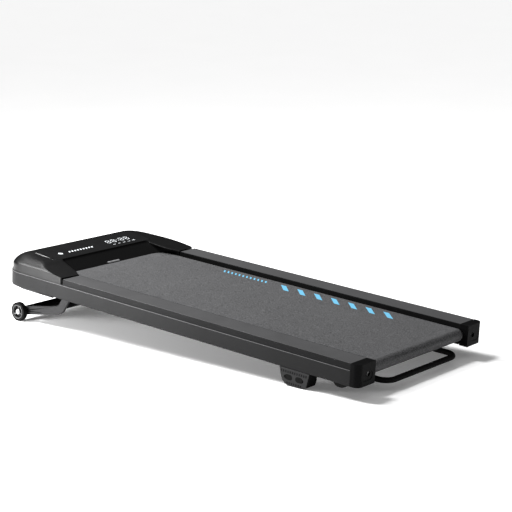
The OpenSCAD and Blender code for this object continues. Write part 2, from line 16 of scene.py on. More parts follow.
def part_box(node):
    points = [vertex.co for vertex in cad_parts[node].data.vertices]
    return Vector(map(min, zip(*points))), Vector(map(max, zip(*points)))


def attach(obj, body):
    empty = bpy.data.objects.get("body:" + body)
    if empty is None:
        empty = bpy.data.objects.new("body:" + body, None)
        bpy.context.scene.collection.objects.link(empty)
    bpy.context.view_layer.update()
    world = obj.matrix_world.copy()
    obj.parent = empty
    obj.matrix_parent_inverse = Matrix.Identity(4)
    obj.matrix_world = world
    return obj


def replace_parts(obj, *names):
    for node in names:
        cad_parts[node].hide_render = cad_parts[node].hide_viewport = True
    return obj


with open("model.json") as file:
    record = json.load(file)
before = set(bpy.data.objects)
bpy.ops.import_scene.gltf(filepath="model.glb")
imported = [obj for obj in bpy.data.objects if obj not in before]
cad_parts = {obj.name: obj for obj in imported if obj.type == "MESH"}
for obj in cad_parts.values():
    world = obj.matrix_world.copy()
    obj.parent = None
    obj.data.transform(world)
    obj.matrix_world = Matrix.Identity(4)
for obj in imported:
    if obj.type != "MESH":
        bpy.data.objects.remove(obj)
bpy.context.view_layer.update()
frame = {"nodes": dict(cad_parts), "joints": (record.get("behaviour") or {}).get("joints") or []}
scene = bpy.context.scene
nodes = frame["nodes"]

# ------------------------------------------------------------------ driving sizes, in millimetres

MM = 0.001             # one millimetre in metres
SIDES = ((-1, "left"), (1, "right"))
BAND_H = 17.4          # upper side band, down to the parting line
GAP = 3.0              # gap between the foot rails and the hood
RAIL_IN = 204.9        # inner side of a foot rail
BELT_HALF = 200.0      # half the belt's width
BELT_TOP = -12.0       # upper face of the belt
BELT_THICK = 1.6
ROLLER_R = 15.3        # inner radius of the belt at a roller
ROLLER_Z = -28.9       # height of both roller axes
ROLLER_FRONT = 92.0    # and where they lie along the deck
ROLLER_REAR = -985.0
HOOD_HALF = 270.0      # half the hood's width
HOOD_REAR = 2.6        # rear ends of the hood's arms, on their inner side
HOOD_REAR_OUT = 6.5    # and on their outer side
HOOD_FRONT = 252.0
HOOD_CORNER = 77.0     # radius of the hood's front corners, seen from above
PANEL_W, PANEL_L, PANEL_R = 392.0, 98.0, 14.0      # console: width, length, corner radius
PANEL_Y, PANEL_Z, PANEL_TILT = 157.0, 22.65, 3.6   # its middle, and its slope on the deck in degrees
AXLE_Y, AXLE_Z = 186.0, 27.0                       # wheel axle, above the floor
WHEEL_IN = 260.0       # inner face of a wheel
SKIRT_OUT = 273.0      # outer face of the side skirts
RAIL_REAR = -988.6     # rear end of the pads and seals on a foot rail

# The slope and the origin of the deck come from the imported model
push = next(joint["axis"] for joint in frame["joints"] if joint["name"] == "push_rod_slide")
SLOPE = math.atan2(-push[2], -push[1])
rail_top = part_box("foot_rail_right")[1]
DECK_Y = rail_top.y + MM * (GAP / 2 * math.cos(SLOPE) - BAND_H * math.sin(SLOPE))
DECK_Z = rail_top.z + MM * GAP / 2 * math.sin(SLOPE)
MILLI = Matrix.Scale(MM, 4)
DECK = Matrix.Translation((0, DECK_Y, DECK_Z)) @ Matrix.Rotation(SLOPE, 4, "X") @ MILLI
FLOOR = Matrix.Translation((0, DECK_Y, 0)) @ MILLI
PANEL = DECK @ Matrix.Translation((0, PANEL_Y, PANEL_Z)) @ Matrix.Rotation(math.radians(PANEL_TILT), 4, "X")


# ------------------------------------------------------------------ camera and studio

def add_camera():
    data = bpy.data.cameras.new("camera")
    data.sensor_width = 36
    data.lens = 109.2
    data.clip_end = 200
    camera = bpy.data.objects.new("camera", data)
    camera.location = (-3.1265, -2.7013, 1.1211)
    camera.rotation_euler = (math.radians(77.73), 0, math.radians(-50.1))
    scene.collection.objects.link(camera)
    scene.camera = camera


def add_softbox(name, place, aim, size, power):
    data = bpy.data.lights.new(name, "AREA")
    data.shape = "RECTANGLE"
    data.size, data.size_y = size
    data.energy = power
    light = bpy.data.objects.new(name, data)
    light.location = place
    light.rotation_euler = (Vector(aim) - Vector(place)).to_track_quat("-Z", "Y").to_euler()
    scene.collection.objects.link(light)


def add_sun(name, azimuth, elevation, strength, angle):
    """A far, wide lamp: azimuth is measured from +X towards +Y."""
    data = bpy.data.lights.new(name, "SUN")
    data.energy = strength
    data.angle = math.radians(angle)
    light = bpy.data.objects.new(name, data)
    turn, rise = math.radians(azimuth), math.radians(elevation)
    toward = Vector((math.cos(rise) * math.cos(turn), math.cos(rise) * math.sin(turn), math.sin(rise)))
    light.rotation_euler = toward.to_track_quat("Z", "Y").to_euler()
    scene.collection.objects.link(light)


def add_studio():
    """A room lit from above, a wide key light, and softboxes before, over and low beside the hood."""
    world = bpy.data.worlds.new("studio")
    world.use_nodes = True
    tree = world.node_tree
    split = tree.nodes.new("ShaderNodeSeparateXYZ")
    tree.links.new(tree.nodes.new("ShaderNodeTexCoord").outputs["Generated"], split.inputs["Vector"])
    ramp = tree.nodes.new("ShaderNodeValToRGB")
    for element, at, level in zip(ramp.color_ramp.elements, (0.35, 1.0), (0.005, 0.4)):
        element.position = at
        element.color = (level, level, level, 1)
    tree.links.new(split.outputs["Z"], ramp.inputs["Fac"])
    tree.links.new(ramp.outputs["Color"], tree.nodes["Background"].inputs["Color"])
    scene.world = world
    scene.view_settings.view_transform = "Standard"
    add_sun("key", 104, 60, 2.4, 12)
    add_softbox("front", (-1.0, 2.0, 2.4), (0, 0.1, 0.1), (0.9, 0.9), 135)
    add_softbox("shoulder", (0.5, 1.8, 2.1), (-0.25, 0.15, 0.18), (0.5, 0.5), 22)
    add_softbox("side", (-1.1, 0.85, 0.15), (-0.25, 0.1, 0.1), (0.5, 0.2), 30)


def add_floor(finish):
    reach = 60.0
    corners = [(reach * x, reach * y, 0) for x, y in ((-1, -1), (1, -1), (1, 1), (-1, 1))]
    mesh = bpy.data.meshes.new("studio_floor")
    mesh.from_pydata(corners, [], [(0, 1, 2, 3)])
    floor = bpy.data.objects.new("studio_floor", mesh)
    mesh.materials.append(finish)
    scene.collection.objects.link(floor)


# ------------------------------------------------------------------ materials

class Surface:
    """A node material under construction: its shader, object coordinates, and links by name."""

    def __init__(self, name, colour, rough, metallic=0.0, specular=0.5, coat=0.0):
        self.material = bpy.data.materials.new(name)
        self.material.use_nodes = True
        self.tree = self.material.node_tree
        self.shader = self.tree.nodes["Principled BSDF"]
        self.colour = colour
        self.rough = rough
        self.shader.inputs["Metallic"].default_value = metallic
        self.shader.inputs["Specular IOR Level"].default_value = specular
        self.shader.inputs["Coat Weight"].default_value = coat
        self.shader.inputs["Coat Roughness"].default_value = 0.08
        self.place = self.tree.nodes.new("ShaderNodeTexCoord").outputs["Object"]

    def link(self, source, target):
        self.tree.links.new(source, target)

    def stretched(self, scale, turn=(0, 0, 0)):
        node = self.tree.nodes.new("ShaderNodeMapping")
        node.inputs["Scale"].default_value = scale
        node.inputs["Rotation"].default_value = turn
        self.link(self.place, node.inputs["Vector"])
        return node.outputs["Vector"]

    def noise(self, scale, detail=2.0, place=None):
        node = self.tree.nodes.new("ShaderNodeTexNoise")
        node.inputs["Scale"].default_value = scale
        node.inputs["Detail"].default_value = detail
        self.link(place or self.place, node.inputs["Vector"])
        return node.outputs["Fac"]

    def wave(self, scale, place):
        node = self.tree.nodes.new("ShaderNodeTexWave")
        node.inputs["Scale"].default_value = scale
        self.link(place, node.inputs["Vector"])
        return node.outputs["Fac"]

    def cells(self, scale):
        node = self.tree.nodes.new("ShaderNodeTexVoronoi")
        node.inputs["Scale"].default_value = scale
        self.link(self.place, node.inputs["Vector"])
        return node.outputs["Distance"]

    def maths(self, operation, a, b):
        node = self.tree.nodes.new("ShaderNodeMath")
        node.operation = operation
        for value, socket in zip((a, b), node.inputs):
            if isinstance(value, (int, float)):
                socket.default_value = value
            else:
                self.link(value, socket)
        return node.outputs[0]

    def mixed(self, a, b, share):
        """The given share of a, and the rest of b."""
        return self.maths("ADD", self.maths("MULTIPLY", a, share), self.maths("MULTIPLY", b, 1 - share))

    def spread(self, source, low, high):
        """The middle of a texture's range, laid out from low to high."""
        node = self.tree.nodes.new("ShaderNodeMapRange")
        node.inputs["From Min"].default_value = 0.3
        node.inputs["From Max"].default_value = 0.7
        node.inputs["To Min"].default_value = low
        node.inputs["To Max"].default_value = high
        self.link(source, node.inputs["Value"])
        return node.outputs["Result"]

    def tones(self, source, dark, light):
        """Colour runs from dark to light times the base colour."""
        node = self.tree.nodes.new("ShaderNodeValToRGB")
        for element, share, at in zip(node.color_ramp.elements, (dark, light), (0.3, 0.7)):
            element.position = at
            element.color = [min(1.0, share * c) for c in self.colour] + [1]
        self.link(source, node.inputs["Fac"])
        self.link(node.outputs["Color"], self.shader.inputs["Base Color"])

    def relief(self, source, depth):
        node = self.tree.nodes.new("ShaderNodeBump")
        node.inputs["Distance"].default_value = depth
        node.inputs["Strength"].default_value = 1.0
        self.link(source, node.inputs["Height"])
        self.link(node.outputs["Normal"], self.shader.inputs["Normal"])

    def gloss(self, source, swing):
        """Roughness swings about the base value."""
        rough = self.spread(source, self.rough - swing, self.rough + swing)
        self.link(rough, self.shader.inputs["Roughness"])


def moulded(name, colour, rough, grain=900, depth=0.00003, mottle=0.08, **shader):
    """Moulded plastic with a fine spark texture, a soft change of tone and slightly uneven gloss."""
    surface = Surface(name, colour, rough, **shader)
    fine = surface.noise(grain, 3)
    surface.tones(surface.noise(11, 4), 1 - mottle, 1 + mottle)
    surface.gloss(surface.mixed(fine, surface.noise(35), 0.6), 0.06)
    surface.relief(fine, depth)
    return surface.material


def powder_coat(name, colour, rough, specular=0.5):
    """Powder coat: the rolling orange-peel relief of baked paint."""
    surface = Surface(name, colour, rough, specular=specular)
    peel = surface.noise(420, 1)
    surface.tones(surface.noise(24, 3), 0.9, 1.1)
    surface.gloss(surface.noise(90), 0.05)
    surface.relief(peel, 0.00006)
    return surface.material


def bare_metal(name, colour, rough, stretch, grain):
    """Metal with the fine lines that turning, drawing or plating leaves."""
    surface = Surface(name, colour, rough, metallic=1.0)
    lines = surface.noise(grain, 4, surface.stretched(stretch))
    surface.tones(surface.noise(60, 3), 0.86, 1.05)
    surface.gloss(lines, 0.09)
    surface.relief(lines, 0.00002)
    return surface.material


def rubber(name, colour, rough, grain=700, specular=0.25):
    """Moulded rubber: matt, with a light bloom and small pits."""
    surface = Surface(name, colour, rough, specular=specular)
    pits = surface.cells(grain)
    surface.tones(surface.noise(45, 5), 0.8, 1.25)
    surface.gloss(surface.noise(120, 3), 0.07)
    surface.relief(pits, 0.00005)
    return surface.material


def belt_cloth():
    """Running belt: small crossing ribs under a satin, finely speckled PVC film."""
    surface = Surface("belt", (0.072, 0.072, 0.074), 0.58, specular=0.12)
    turned = [surface.stretched((60, 60, 60), (0, 0, math.radians(turn))) for turn in (45, -45)]
    weave = surface.maths("MULTIPLY", *[surface.wave(2.6, place) for place in turned])
    speck = surface.noise(300, 1)
    surface.tones(surface.mixed(surface.noise(9, 2), speck, 0.06), 0.5, 1.5)
    surface.gloss(speck, 0.08)
    surface.relief(surface.maths("ADD", weave, surface.maths("MULTIPLY", speck, 0.6)), 0.00007)
    return surface.material


def board_laminate():
    """Pressed wood board with a waxed black-brown film, its fibres along the deck."""
    surface = Surface("board", (0.022, 0.018, 0.015), 0.42, specular=0.2)
    fibre = surface.noise(90, 6, surface.stretched((9, 0.6, 30)))
    surface.tones(fibre, 0.75, 1.15)
    surface.gloss(surface.noise(40, 3), 0.06)
    surface.relief(fibre, 0.00005)
    return surface.material


def circuit_board():
    """Solder mask with pale copper tracks below it."""
    surface = Surface("circuit_board", (0.02, 0.12, 0.05), 0.3)
    tracks = surface.wave(140, surface.stretched((1, 0.2, 1)))
    surface.tones(surface.maths("MULTIPLY", tracks, surface.cells(160)), 0.7, 1.8)
    surface.gloss(surface.noise(200), 0.05)
    surface.relief(tracks, 0.00003)
    return surface.material


def printed_ink(name, colour, rough, glow=0.0):
    """Screen-printed ink or a lit segment: nearly even, fine edge-to-edge mottle; on ink its glow is painted
    light.
    """
    surface = Surface(name, colour, rough, specular=0.3)
    surface.tones(surface.noise(300, 3), 0.93, 1.05)
    surface.gloss(surface.noise(800), 0.05)
    surface.relief(surface.noise(1400, 2), 0.00003)
    surface.shader.inputs["Emission Color"].default_value = colour + (1,)
    surface.shader.inputs["Emission Strength"].default_value = glow
    return surface.material


def studio_white():
    """Matt studio floor, faintly lit from below, with a hardly visible mottle."""
    surface = Surface("studio_white", (0.92, 0.92, 0.92), 0.9, specular=0.0)
    surface.tones(surface.noise(2, 2), 0.99, 1.01)
    surface.gloss(surface.noise(3), 0.02)
    surface.shader.inputs["Emission Color"].default_value = (1, 1, 1, 1)
    surface.shader.inputs["Emission Strength"].default_value = 0.13
    return surface.material


FINISH = {
    "steel_frame": powder_coat("steel_frame", (0.008, 0.008, 0.0085), 0.42, specular=0.2),
    "board": board_laminate(),
    "rubber": rubber("rubber", (0.004, 0.004, 0.004), 0.7, specular=0.05),
    "zinc_steel": bare_metal("zinc_steel", (0.6, 0.6, 0.6), 0.32, (1, 1, 1), 500),
    "belt": belt_cloth(),
    "rail_cover": moulded("rail_cover", (0.010, 0.010, 0.0103), 0.45, 1100, 0.00004, specular=0.03),
    "skirt_cover": moulded("skirt_cover", (0.014, 0.014, 0.0143), 0.45, 1100, 0.00004, specular=0.04),
    "cap_plastic": moulded("cap_plastic", (0.005, 0.005, 0.0052), 0.32, grain=900, specular=0.02),
    "hood_plastic": moulded("hood_plastic", (0.003, 0.003, 0.0031), 0.36, grain=1000, specular=0.15),
    "console_gloss": moulded("console_gloss", (0.008, 0.008, 0.0083), 0.22, 1500, 0.000004, 0.03,
                             specular=0.3),
    "circuit_board": circuit_board(),
    "sensor_lens": moulded("sensor_lens", (0.42, 0.42, 0.43), 0.22, grain=1500, depth=0.00001, coat=0.3),
    "motor_steel": powder_coat("motor_steel", (0.05, 0.05, 0.055), 0.35),
    "drive_rubber": rubber("drive_rubber", (0.015, 0.015, 0.015), 0.6),
    "aluminium": bare_metal("aluminium", (0.6, 0.6, 0.62), 0.38, (1, 0.04, 1), 900),
    "gearbox": powder_coat("gearbox", (0.12, 0.12, 0.13), 0.5),
    "foot_grey": moulded("foot_grey", (0.02, 0.02, 0.0205), 0.45, grain=800, depth=0.00005, specular=0.1),
    "handle_black": powder_coat("handle_black", (0.003, 0.003, 0.0032), 0.4, specular=0.02),
    "arm_grey": powder_coat("arm_grey", (0.017, 0.017, 0.0175), 0.42, specular=0.08),
    "tube_black": powder_coat("tube_black", (0.003, 0.003, 0.0032), 0.4, specular=0.03),
    "tyre_rubber": rubber("tyre_rubber", (0.004, 0.004, 0.004), 0.6, grain=900, specular=0.04),
    "hub_grey": moulded("hub_grey", (0.045, 0.045, 0.046), 0.35, grain=900, specular=0.3),
    "roller_steel": bare_metal("roller_steel", (0.55, 0.55, 0.56), 0.28, (1, 0.1, 0.1), 1200),
    "pulley_grey": moulded("pulley_grey", (0.1, 0.1, 0.1), 0.5, grain=600, depth=0.00006),
    "switch_black": moulded("switch_black", (0.01, 0.01, 0.01), 0.25, grain=1200, depth=0.00001),
    "button_red": moulded("button_red", (0.35, 0.02, 0.02), 0.28, grain=1200, depth=0.00001),
}
RAIL_TOP = moulded("rail_top", (0.052, 0.052, 0.0535), 0.5, grain=700, depth=0.00006, specular=0.3)
# Light grey of the seam strip: a painted highlight where the parting line's edge catches the light.
SEAM_PAINTED_HIGHLIGHT = moulded("seam_painted_highlight", (0.09, 0.09, 0.092), 0.4, grain=900, specular=0.3)
HUB_DARK = moulded("hub_dark", (0.005, 0.005, 0.0052), 0.5, grain=900, specular=0.05)
BOLT_STEEL = bare_metal("bolt_steel", (0.24, 0.24, 0.245), 0.35, (1, 1, 1), 500)
# The stripes' printed ink glows with emission 0.25: painted light, not a lamp.
STRIPE_BLUE_PAINTED_GLOW = printed_ink("stripe_blue_painted_glow", (0.115, 0.36, 0.53), 0.45, 0.25)
# Glowing white of the lit digits and icons; on the printed marks the same glow is painted light.
DISPLAY_WHITE = printed_ink("display_white", (0.75, 0.78, 0.80), 0.35, 0.35)


# ------------------------------------------------------------------ shapes

class Shape:
    """Corners and faces of one piece, gathered from several solids."""

    def __init__(self):
        self.verts = []
        self.faces = []

    def add(self, verts, faces):
        first = len(self.verts)
        self.verts += [tuple(v) for v in verts]
        self.faces += [tuple(first + i for i in face) for face in faces]
        return self

    def loft(self, rings, ends=True, around=True):
        """Skin over rings with the same number of points each."""
        count = len(rings[0])
        faces = []
        for a in range(len(rings) - 1):
            for i in range(count if around else count - 1):
                j = (i + 1) % count
                faces.append((a * count + i, a * count + j, (a + 1) * count + j, (a + 1) * count + i))
        if ends:
            faces.append(tuple(range(count)))
            faces.append(tuple((len(rings) - 1) * count + i for i in reversed(range(count))))
        return self.add([p for ring in rings for p in ring], faces)

    def plate(self, outline, low, high, chamfer=0.0):
        """An XY outline given thickness along Z, with chamfered top edges."""
        middle = [sum(p[i] for p in outline) / len(outline) for i in (0, 1)]
        rings = [[(x, y, low) for x, y in outline], [(x, y, high - chamfer) for x, y in outline]]
        if chamfer:
            inner = []
            for x, y in outline:
                away = Vector((x - middle[0], y - middle[1])).normalized() * chamfer
                inner.append((x - away.x, y - away.y, high))
            rings.append(inner)
        return self.loft(rings)

    def block(self, x, y, z):
        corners = [(a, b) for a, b in ((x[0], y[0]), (x[1], y[0]), (x[1], y[1]), (x[0], y[1]))]
        return self.plate(corners, z[0], z[1])

    def turned(self, profile, centre, axis, steps=64):
        """A closed profile of (radius, along) points turned about an axis through centre."""
        rings = []
        for step in range(steps + 1):
            angle = 2 * math.pi * step / steps
            ring = []
            for radius, along in profile:
                a, b = radius * math.cos(angle), radius * math.sin(angle)
                point = {"x": (along, a, b), "y": (a, along, b), "z": (a, b, along)}[axis]
                ring.append([c + p for c, p in zip(centre, point)])
            rings.append(ring)
        return self.loft(rings, ends=False)

    def tube(self, path, radius, steps=24):
        """A round bar along a path that stays in one XY plane."""
        rings = []
        for i, point in enumerate(path):
            ahead = Vector(path[min(i + 1, len(path) - 1)]) - Vector(path[max(i - 1, 0)])
            side = Vector((ahead.y, -ahead.x, 0)).normalized()
            rings.append([Vector(point) + radius * (side * math.cos(t) + Vector((0, 0, math.sin(t))))
                          for t in (2 * math.pi * k / steps for k in range(steps))])
        return self.loft(rings)


def on_circle(centre, radius, turn):
    """The point on a circle at an angle in degrees."""
    angle = math.radians(turn)
    return (centre[0] + radius * math.cos(angle), centre[1] + radius * math.sin(angle))


def arc(centre, radius, start, end, steps):
    """Points on a circle from one angle to another, in degrees."""
    return [on_circle(centre, radius, start + (end - start) * i / steps) for i in range(steps + 1)]


def mirrored(points):
    """The same XY points on the other side of the deck, in the opposite order."""
    return [(-x, y) for x, y in reversed(points)]


def rounded_rectangle(width, length, radius):
    x, y = width / 2 - radius, length / 2 - radius
    corners = [((x, y), 0), ((-x, y), 90), ((-x, -y), 180), ((x, -y), 270)]
    return [p for centre, turn in corners for p in arc(centre, radius, turn, turn + 90, 8)]


def make(name, shape, finish, body="root", place=DECK, crease=35):
    """Turns a shape into a piece that rides on a body."""
    mesh = bpy.data.meshes.new(name)
    mesh.from_pydata(shape.verts, [], shape.faces)
    mesh.transform(place)
    solid = bmesh.new()
    solid.from_mesh(mesh)
    bmesh.ops.remove_doubles(solid, verts=solid.verts, dist=1e-6)
    bmesh.ops.recalc_face_normals(solid, faces=solid.faces)
    solid.to_mesh(mesh)
    solid.free()
    mesh.shade_smooth()
    mesh.materials.append(finish)
    piece = bpy.data.objects.new(name, mesh)
    scene.collection.objects.link(piece)
    mesh.set_sharp_from_angle(angle=math.radians(crease))
    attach(piece, body)
    return piece


def apply_modifiers(piece):
    """Gives a piece the mesh its modifiers make."""
    ready = piece.evaluated_get(bpy.context.evaluated_depsgraph_get())
    mesh = bpy.data.meshes.new_from_object(ready)
    piece.modifiers.clear()
    piece.data = mesh


def cut(piece, shape, place):
    """Cuts a shape out of a piece."""
    tool = make("cutter", shape, FINISH["rubber"], place=place)
    tool.parent = None
    hole = piece.modifiers.new("hole", "BOOLEAN")
    hole.operation = "DIFFERENCE"
    hole.solver = "EXACT"
    hole.use_self = True
    hole.object = tool
    apply_modifiers(piece)
    bpy.data.objects.remove(tool)


# ------------------------------------------------------------------ CAD nodes that keep their shape

def soften(node, width):
    """Rounds a CAD node's sharp edges, as moulding and paint do, and shades it smoothly."""
    piece = nodes[node]
    piece.data.polygons.foreach_set("use_smooth", [True] * len(piece.data.polygons))
    weld = piece.modifiers.new("weld", "WELD")
    weld.merge_threshold = 1e-6
    bevel = piece.modifiers.new("edges", "BEVEL")
    bevel.width = width * MM
    bevel.segments = 3
    bevel.limit_method = "ANGLE"
    bevel.angle_limit = math.radians(35)
    bevel.harden_normals = False
    weigh = piece.modifiers.new("shading", "WEIGHTED_NORMAL")
    weigh.keep_sharp = True


def finish_cad_nodes():
    """Gives every node its slot's finish, and edges softened by so many millimetres by its name."""
    for name, piece in nodes.items():
        slot = piece.material_slots[0].material.name.split(".")[0]
        piece.material_slots[0].material = FINISH[slot]
    widths = {
        "foot_rail": 0.7, "side_skirt": 0.5, "end_cap": 1.2, "front_skirt": 0.5, "belly_pan": 1.0,
        "side_foot": 1.5, "foot_plate": 0.35, "lift_arm": 1.2, "lift_lever": 0.5, "rear_pads": 1.0,
        "handle_clamps": 1.2, "frame_tube": 0.8, "cross_members": 0.8, "front_cross_plate": 0.5,
        "power_panel": 0.4, "power_inlet": 0.4, "rocker_switch": 0.4, "reset_button": 0.4,
        "sensor_window": 0.3, "running_board": 0.6, "pivot_bolts": 0.6, "lift_motor": 0.8,
        "motor_cradle": 0.6, "control_box": 0.4, "rear_axle_blocks": 0.5, "front_roller_brackets": 0.5,
        "board_cushions": 0.6, "tension_bolt": 0.3, "wheel_axles": 0.4,
    }
    for name in nodes:
        for stem, width in widths.items():
            if name.startswith(stem):
                soften(name, width)


# ------------------------------------------------------------------ hood

def smooth_curve(points, x):
    """A curve through (x, y) points with no kinks."""
    if x <= points[0][0]:
        return points[0][1]
    if x >= points[-1][0]:
        return points[-1][1]
    i = next(k for k in range(len(points) - 1) if points[k][0] <= x <= points[k + 1][0])

    def slope(a, b):
        return (b[1] - a[1]) / (b[0] - a[0])

    here = slope(points[i], points[i + 1])
    before = (slope(points[i - 1], points[i]) + here) / 2 if i else here
    after = (here + slope(points[i + 1], points[i + 2])) / 2 if i + 2 < len(points) else here
    span = points[i + 1][0] - points[i][0]
    t = (x - points[i][0]) / span
    return (points[i][1] * (1 + 2 * t) * (1 - t) ** 2 + before * span * t * (1 - t) ** 2
            + points[i + 1][1] * t * t * (3 - 2 * t) - after * span * t * t * (1 - t))


# Heights above the rail tops, and drops below the crown by the distance from the hood's edge
CROWN = 26.0
SIDE_DROP = [(0, 18.4), (1.6, 16.6), (12, 11.2), (26, 6.6), (44, 3.0), (64, 0.6), (80, 0)]
FRONT_DROP = [(0, 32), (1, 27), (3, 21.5), (9, 12.5), (18, 5.5), (30, 1.4), (44, 0.15), (50, 0)]
PLANE = [(-5, 0.45), (1.5, 1.42), (92, 15.2), (108, 19.57), (160, 22.84), (252, 28.6)]


def hood_height(x, y):
    """Height of the hood's top above the rail tops."""
    x = abs(x)
    corner = (HOOD_HALF - HOOD_CORNER, HOOD_FRONT - HOOD_CORNER)
    over = (x - corner[0], y - corner[1])
    if over[0] > 0 and over[1] > 0:
        inset = HOOD_CORNER - math.hypot(*over)
        turn = math.atan2(over[1], over[0]) / (math.pi / 2)
    elif over[0] > over[1]:
        inset, turn = HOOD_HALF - x, 0.0
    else:
        inset, turn = HOOD_FRONT - y, 1.0
    turn = turn * turn * (3 - 2 * turn)
    drop = (1 - turn) * smooth_curve(SIDE_DROP, inset) + turn * smooth_curve(FRONT_DROP, inset)
    roof, slope = CROWN - drop, smooth_curve(PLANE, y)
    blend = 2.0
    share = max(0.0, min(1.0, 0.5 + (slope - roof) / (2 * blend)))
    return slope * (1 - share) + roof * share - blend * share * (1 - share)


def hood_stations():
    """Pairs of outer, inner rim and inner foot points, from the rear end of the right arm to the middle."""
    rim = [(1.5, 205.0), (6, 203.5), (26, 193.5), (60, 183.0), (97, 174.0)]
    outer_corner = (HOOD_HALF - HOOD_CORNER, HOOD_FRONT - HOOD_CORNER)
    rim_corner, rim_r = (164.0, 97.0), 10.3
    bay_corner, bay_r = (154.9, 20.0), 50.0
    bay_start, bay_turn = 0.15, 60.0
    end_r = 5.0
    stations = []
    rear_arc = arc((HOOD_HALF - end_r, HOOD_REAR_OUT + end_r), end_r, 270, 360, 5)
    side = rear_arc + [(HOOD_HALF, y) for y in range(14, int(HOOD_FRONT - HOOD_CORNER), 7)]
    last = len(side) - 1
    for i, outer in enumerate(side):
        share = i / last
        y = HOOD_REAR + (rim_corner[1] - HOOD_REAR) * share ** 1.3
        if share < bay_start:
            foot = (RAIL_IN, HOOD_REAR + (bay_corner[1] - HOOD_REAR) * share / bay_start)
        else:
            foot = on_circle(bay_corner, bay_r, bay_turn * ((share - bay_start) / (1 - bay_start)))
        stations.append((outer, (smooth_curve(rim, y), y), foot))
    steps = 22
    for i in range(1, steps + 1):
        outer = on_circle(outer_corner, HOOD_CORNER, 90 * i / steps)
        inner = on_circle(rim_corner, rim_r, 90 * i / steps)
        foot = on_circle(bay_corner, bay_r, bay_turn + (90 - bay_turn) * i / steps)
        stations.append((outer, inner, foot))
    steps = 26
    fronts = (HOOD_FRONT, rim_corner[1] + rim_r, bay_corner[1] + bay_r)
    for i in range(1, steps + 1):
        left = 1 - i / steps
        corners = (outer_corner, rim_corner, bay_corner)
        stations.append(tuple((corner[0] * left, front) for corner, front in zip(corners, fronts)))
    return stations


def hood_section(outer, inner, foot):
    """One section of the hood: up the outer wall, over the top and down into the belt bay."""
    low = -BAND_H
    top = hood_height(*outer)
    section = [(*outer, low + (top - low) * k / 4) for k in range(5)]
    out = Vector(outer) - Vector(inner)
    roll, steps = 3.2, 34          # radius of the rolled edge, and points over the top
    start = roll / out.length
    for k in range(1, steps + 1):
        share = 1 - (1 - start) * (k / steps if k > 3 else (k / 3) ** 1.6 * 3 / steps)
        x, y = Vector(inner) + out * share
        section.append((x, y, hood_height(x, y)))
    rim = section[-1]
    across = out.normalized()
    for turn in (30, 60, 90):
        bend = math.radians(turn)
        x, y = Vector(rim[:2]) - across * roll * math.sin(bend)
        section.append((x, y, rim[2] - roll * (1 - math.cos(bend))))
    edge = Vector(section[-1])
    floor = Vector((*foot, BELT_TOP + 1))
    section += [tuple(edge.lerp(floor, k / 6)) for k in range(1, 7)]
    return section


def add_hood():
    """The hood as a 2 mm shell over its sections, with openings for the console and the sensor window."""
    right = [hood_section(*station) for station in hood_stations()]
    left = [[(-x, y, z) for x, y, z in section] for section in reversed(right[:-1])]
    shell = Shape().loft(right + left, ends=True, around=False)
    crease = 40
    hood = make("hood_shell", shell, FINISH["hood_plastic"], crease=crease)
    wall = hood.modifiers.new("wall", "SOLIDIFY")
    wall.thickness = 2 * MM
    wall.offset = -1
    wall.use_even_offset = True
    apply_modifiers(hood)
    slack = 0.4
    opening = rounded_rectangle(PANEL_W + 2 * slack, PANEL_L + 2 * slack, PANEL_R + slack)
    cut(hood, Shape().plate(opening, -12, 8), PANEL)
    sensor_slot = Shape().block((-23.4, 23.4), (55, 85), (-10.3, -6.7))
    cut(hood, sensor_slot, DECK)
    hood.data.shade_smooth()
    hood.data.set_sharp_from_angle(angle=math.radians(crease))
    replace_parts(hood, "hood_cover")


# ------------------------------------------------------------------ console

def slanted(x, y, width, height, lean):
    """Four corners of a slanted bar."""
    return [(x, y), (x + width, y), (x + width + lean, y + height), (x + lean, y + height)]


def add_console():
    """The console window with its lit digits and icons, and on its left half the printed marks, whose glow
    is painted light.
    """
    face = 0.4
    outline = rounded_rectangle(PANEL_W, PANEL_L, PANEL_R)
    inner = rounded_rectangle(PANEL_W - 1.6, PANEL_L - 1.6, PANEL_R - 0.8)
    glass = Shape().loft([[(x, y, -2.6) for x, y in outline], [(x, y, face - 0.8) for x, y in outline],
                          [(x, y, face) for x, y in inner]])
    window = make("console_window", glass, FINISH["console_gloss"], place=PANEL)
    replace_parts(window, "display_panel")

    low, high = face - 0.05, face + 0.05
    digits = Shape()
    width, height, bar, lean, base = 12.5, 21.0, 2.0, 3.0, -10
    for x in (53, 75, 107, 129):
        for up in range(3):
            y = base + up * height / 2
            digits.plate(slanted(x + 1.6 + lean * up / 2, y - bar / 2, width - 3.2, bar, 0.2), low, high)
        for up in range(2):
            for across in (0, width):
                y = base + up * height / 2 + 1.4
                edge = x + across - bar / 2 + lean * up / 2
                digits.plate(slanted(edge, y, bar, height / 2 - 2.8, lean / 2), low, high)
    for y in (-5, 5):
        digits.plate(slanted(97.5, y - 1.2, 2.4, 2.4, 0.3), low, high)
    make("display_digits", digits, DISPLAY_WHITE, place=PANEL)

    icons = Shape()
    for x in (58, 78, 98, 118):
        icons.plate(arc((x, -27), 1.5, 0, 360, 12)[:-1], low, high)
        icons.plate(slanted(x + 2.6, -28, 5.2, 2.0, 0), low, high)
    for i in range(3):
        icons.plate(slanted(137 + 3.4 * i, -28.5, 1.8, 3.0 + 2.4 * i, 0), low, high)
    make("display_icons", icons, DISPLAY_WHITE, place=PANEL)

    marks = Shape()
    for i in range(9):
        marks.plate(slanted(-110 + 11.2 * i, -14, 5.6, 8.5, 3.5), low, high)
    ring = [arc((-140, -9), r, 50, 130 + 280, 28) for r in (7.0, 5.0)]
    marks.plate(ring[0] + ring[1][::-1], low, high)
    marks.plate(slanted(-141, -8, 2, 8, 0), low, high)
    # The printed marks share the digits' glowing white: on them the glow is painted light.
    make("console_marks", marks, DISPLAY_WHITE, place=PANEL)


# ------------------------------------------------------------------ running belt

